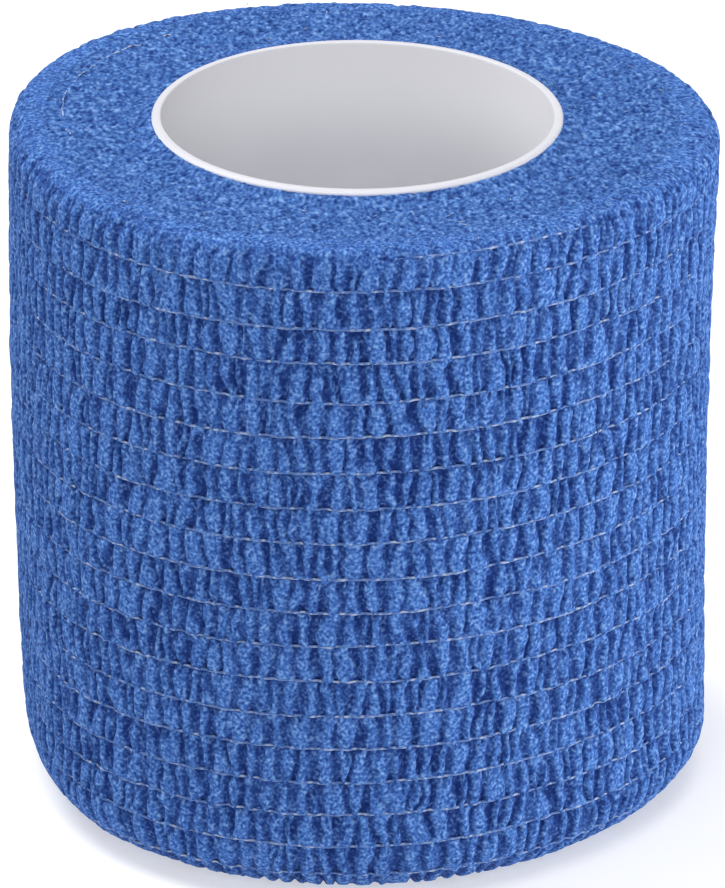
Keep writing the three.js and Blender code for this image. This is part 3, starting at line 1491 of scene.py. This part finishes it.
@dataclass
class StrayFibres:
    """Loose ends of elastic thread on the top: most by the tube, and one long bared stretch."""

    form: RollForm
    finish: ThreadFinish
    seed: int = 53
    arcs: tuple[FibreArc, ...] = (
        FibreArc(angles=(245.0, 256.0), radii=(14.6, 15.2), count=7, length=0.6),
        FibreArc(angles=(283.0, 303.0), radii=(14.6, 15.3), count=26, length=0.5),
        FibreArc(angles=(300.0, 322.0), radii=(14.5, 15.0), count=16, length=0.6),
        FibreArc(angles=(336.0, 347.0), radii=(15.0, 15.6), count=8, length=0.6),
        FibreArc(angles=(0.0, 360.0), radii=(15.0, 23.5), count=46, length=0.5),
    )
    radius: float = 0.03
    thickness_shares: Span = (0.7, 1.3)
    length_shares: Span = (0.5, 1.6)
    heading_spread: float = 0.7
    bend_spread: float = 0.5
    lift: float = 0.05
    arch: float = 0.05
    tip_share: float = 0.6
    points: int = 7
    sides: int = 4
    bared_angles: tuple[float, ...] = (128.0, 134.8, 145.7, 152.2, 160.0, 166.4, 173.0, 180.0, 188.0)
    bared_radii: tuple[float, ...] = (21.1, 21.31, 21.59, 21.54, 21.48, 21.36, 21.12, 20.78, 20.4)
    bared_radius: float = 0.06
    bared_points: int = 220
    bared_sides: int = 5
    bared_sunk: float = 0.02
    shiver: float = 0.03
    shiver_reach: float = 3.0
    dip: float = 0.05
    dip_reach: float = 2.5

    def _on_top(self, angle: np.ndarray, radius: np.ndarray, lift: np.ndarray) -> np.ndarray:
        """Finds points over the top.

        Args:
            angle: True angles in radians.
            radius: True radii.
            lift: How far over the top each point is.

        Returns:
            Points in millimetres, with a last axis of three.
        """
        grown = 1.0 + self.form.out_of_round(angle, self.form.tape_width) / self.form.radius
        height = self.form.top_height(radius / grown) + lift
        x = radius * np.cos(angle) + self.form.offset_x
        y = radius * np.sin(angle) + self.form.offset_y
        return np.stack([x, y, height], axis=-1)

    def _loose_end(self, rng: np.random.Generator, arc: FibreArc) -> bmesh.types.BMesh:
        """Builds one short curved fibre.

        Args:
            rng: The seeded source.
            arc: Where it lies.

        Returns:
            The bmesh.
        """
        middle = math.radians(rng.uniform(*arc.angles))
        radius = rng.uniform(*arc.radii)
        length = arc.length * rng.uniform(*self.length_shares)
        heading = rng.normal(0.0, self.heading_spread)
        step = np.linspace(-0.5, 0.5, self.points) * length
        bend = rng.normal(0.0, self.bend_spread) * step**2 / length
        across = step * math.sin(heading) + bend * math.cos(heading)
        around = (step * math.cos(heading) - bend * math.sin(heading)) / radius
        from_tip = np.cos(step / length * math.pi)
        lift = self.lift + self.arch * from_tip * rng.uniform(0.0, 1.0)
        path = self._on_top(middle + around, radius + across, lift)
        size = self.radius * rng.uniform(*self.thickness_shares)
        return thin_tube(path, size * (self.tip_share + (1.0 - self.tip_share) * from_tip), self.sides)

    def _bared(self, rng: np.random.Generator) -> bmesh.types.BMesh:
        """Builds the long stretch of a lower turn's edge thread, half sunk in the felt.

        Args:
            rng: The seeded source.

        Returns:
            The bmesh.
        """
        angle = np.linspace(self.bared_angles[0], self.bared_angles[-1], self.bared_points)
        radius = np.interp(angle, self.bared_angles, self.bared_radii)
        radius = radius + self.shiver * soft_row(rng, self.bared_points, self.shiver_reach)
        lift = self.dip * soft_row(rng, self.bared_points, self.dip_reach) - self.bared_sunk
        path = self._on_top(np.radians(angle), radius, lift)
        return thin_tube(path, self.bared_radius, self.bared_sides)

    def build(self) -> list[bpy.types.Object]:
        """Builds and dresses the fibres as one piece.

        Returns:
            The piece, in a list.
        """
        rng = np.random.default_rng(self.seed)
        strands = [self._bared(rng)]
        strands += [self._loose_end(rng, arc) for arc in self.arcs for _ in range(arc.count)]
        pieces = [smooth_piece("stray_fibres", joined(strands))]
        return dressed(pieces, self.finish.material(), "wound_cloth")


@dataclass
class CoreTube:
    """The stiff white tube that the tape is wound on.

    Its bevels are the size and the segments of each corner of the wall, from the outside's foot up,
    over the rim and down the inside.
    """

    form: RollForm
    finish: TubeFinish
    steps: int = 288
    grown: float = 0.23
    oval: float = 0.985
    shift_y: float = 0.1
    bevels: tuple[tuple[float, int], ...] = ((0.12, 2), (0.3, 5), (0.15, 4), (0.12, 2))

    def build(self) -> list[bpy.types.Object]:
        """Spins the wall's section round, softens its edges and dresses it.

        Returns:
            The piece, in a list.
        """
        form = self.form
        outer = form.core_radius + self.grown
        inner = outer - form.core_wall
        low, high = form.core_lift, form.core_lift + form.tape_width
        corners = [(outer, low), (outer, high), (inner, high), (inner, low)]
        tube = bmesh.new()
        verts = [tube.verts.new((r * MM, 0.0, z * MM)) for r, z in corners]
        for index, vert in enumerate(verts):
            tube.edges.new((vert, verts[(index + 1) % len(verts)]))
        for vert, (size, segments) in zip(verts, self.bevels):
            bmesh.ops.bevel(
                tube,
                geom=[vert],
                offset=size * MM,
                segments=segments,
                profile=0.5,
                affect="VERTICES",
                material=-1,
            )
        bmesh.ops.spin(
            tube,
            geom=list(tube.verts) + list(tube.edges),
            cent=(0.0, 0.0, 0.0),
            axis=(0.0, 0.0, 1.0),
            angle=2.0 * math.pi,
            steps=self.steps,
            use_merge=True,
        )
        bmesh.ops.remove_doubles(tube, verts=tube.verts, dist=MERGE_DISTANCE)
        bmesh.ops.recalc_face_normals(tube, faces=tube.faces)
        bmesh.ops.scale(tube, verts=tube.verts, vec=(1.0, self.oval, 1.0))
        shift = Vector((form.offset_x, form.offset_y + form.core_offset_y + self.shift_y, 0.0)) * MM
        bmesh.ops.translate(tube, verts=tube.verts, vec=shift)
        pieces = [smooth_piece("core_wall", tube)]
        return dressed(pieces, self.finish.material(), "core_tube")


# Studio


@dataclass(frozen=True)
class Lamp:
    """A soft lamp: the way it hangs in degrees, then metres and watts."""

    azimuth: float
    elevation: float
    distance: float
    width: float
    height: float
    power: float


class LampRole(Enum):
    """What each lamp is for."""

    OVERHEAD = Lamp(azimuth=25.0, elevation=80.0, distance=0.9, width=0.5, height=0.5, power=3.8)
    UPPER_LEFT = Lamp(azimuth=-120.0, elevation=58.0, distance=0.6, width=0.3, height=0.3, power=2.4)
    FRONT = Lamp(azimuth=-4.0, elevation=30.0, distance=0.35, width=0.2, height=0.2, power=0.30)
    RIGHT_STRIP = Lamp(azimuth=88.0, elevation=0.0, distance=0.9, width=0.6, height=0.044, power=6.6)


@dataclass(frozen=True)
class Studio:
    """Pale floor, soft lamps, and the camera at the photograph's angle.

    The tilt and the roll are in degrees, the lens and its centre in the photograph's pixels, the
    sensor in millimetres, and the rest in metres.
    """

    form: RollForm
    tilt: float = 24.36
    distance: float = 0.6
    focal_px: float = 8346.0
    centre_px: Span = (356.68, 441.75)
    roll: float = 0.142
    sensor: float = 36.0
    clip: Span = (0.01, 20.0)
    floor_half: float = 1.6
    floor_cells: int = 8
    floor_colour: Colour = (0.60, 0.60, 0.61)
    floor_roughness: float = 0.95
    floor_glow: float = 0.50
    lamp_target: float = 0.028
    sky_strength: float = 0.3

    def camera(self) -> None:
        """Sets the camera up."""
        lens = bpy.data.cameras.new("photo_camera")
        lens.sensor_width = self.sensor
        lens.lens = self.focal_px / PHOTO_HEIGHT * self.sensor
        lens.shift_x = (PHOTO_WIDTH / 2 - self.centre_px[0]) / PHOTO_HEIGHT
        lens.shift_y = (self.centre_px[1] - PHOTO_HEIGHT / 2) / PHOTO_HEIGHT
        lens.clip_start, lens.clip_end = self.clip
        eye = bpy.data.objects.new("photo_camera", lens)
        tilt = math.radians(self.tilt)
        target = Vector((self.form.offset_x, self.form.offset_y, self.form.tape_width / 2)) * MM
        back = Vector((0.0, -math.cos(tilt), math.sin(tilt))) * self.distance
        facing = (-back).to_track_quat("-Z", "Y").to_matrix()
        turn = facing @ Matrix.Rotation(math.radians(self.roll), 3, "Z")
        eye.matrix_world = Matrix.Translation(target + back) @ turn.to_4x4()
        bpy.context.scene.collection.objects.link(eye)
        bpy.context.scene.camera = eye

    def floor(self) -> None:
        """Lays the floor."""
        ground = bmesh.new()
        cells = self.floor_cells
        bmesh.ops.create_grid(ground, x_segments=cells, y_segments=cells, size=self.floor_half)
        piece = smooth_piece("floor", ground)
        looks = {
            "Base Color": opaque(self.floor_colour),
            "Roughness": self.floor_roughness,
            "Specular IOR Level": 0.0,
            "Emission Color": opaque(WHITE),
            "Emission Strength": self.floor_glow,
        }
        piece.data.materials.append(Surface("pale_floor").finished(looks))

    def lamps(self) -> None:
        """Hangs the soft lamps, all facing one point in the roll."""
        target = Vector((0.0, 0.0, self.lamp_target))
        for role in LampRole:
            name, lamp = role.name.lower(), role.value
            light = bpy.data.lights.new(name, "AREA")
            light.shape = "RECTANGLE"
            light.size = lamp.width
            light.size_y = lamp.height
            light.energy = lamp.power
            holder = bpy.data.objects.new(name, light)
            side, up = math.radians(lamp.azimuth), math.radians(lamp.elevation)
            level = math.cos(up)
            way = Vector((math.sin(side) * level, -math.cos(side) * level, math.sin(up)))
            turn = (-way).to_track_quat("-Z", "Y").to_matrix().to_4x4()
            holder.matrix_world = Matrix.Translation(way * lamp.distance + target) @ turn
            bpy.context.scene.collection.objects.link(holder)

    def world(self) -> None:
        """Fills the room with soft white light."""
        world = bpy.data.worlds.new("studio")
        world.use_nodes = True
        sky = world.node_tree.nodes["Background"]
        sky.inputs["Color"].default_value = opaque(WHITE)
        sky.inputs["Strength"].default_value = self.sky_strength
        bpy.context.scene.world = world
        bpy.context.scene.view_settings.view_transform = "Standard"

    def build(self) -> None:
        """Sets the whole studio up."""
        self.camera()
        self.floor()
        self.lamps()
        self.world()


def main() -> None:
    """Builds the studio and the roll, and reports each piece."""
    logging.basicConfig(level=logging.INFO, format="%(name)s: %(message)s")
    form = RollForm()
    Studio(form).build()
    puckers = Puckers(LapSection(form))
    cloth = ClothFinish("blue_crepe", laid_along="laid")
    felt_ends = ClothFinish(
        "blue_felt_ends",
        dark=(0.014, 0.047, 0.20),
        light=(0.053, 0.140, 0.41),
        fibre=(0.11, 0.235, 0.54),
        fleck=(0.21, 0.36, 0.66),
        grain_scale=1650.0,
        grain_stretch=1.4,
    )
    thread = ThreadFinish("elastic_thread")
    loose_thread = ThreadFinish("loose_thread", pale=(0.42, 0.50, 0.66), warm=(0.62, 0.60, 0.52))
    parts = (
        OuterLap(puckers, cloth),
        PackedLaps(form, felt_ends),
        ElasticThreads(puckers, thread),
        StrayFibres(form, loose_thread),
        CoreTube(form, TubeFinish("white_tube")),
    )
    for part in parts:
        for piece in part.build():
            report_piece(piece)


if __name__ == "__main__":
    main()
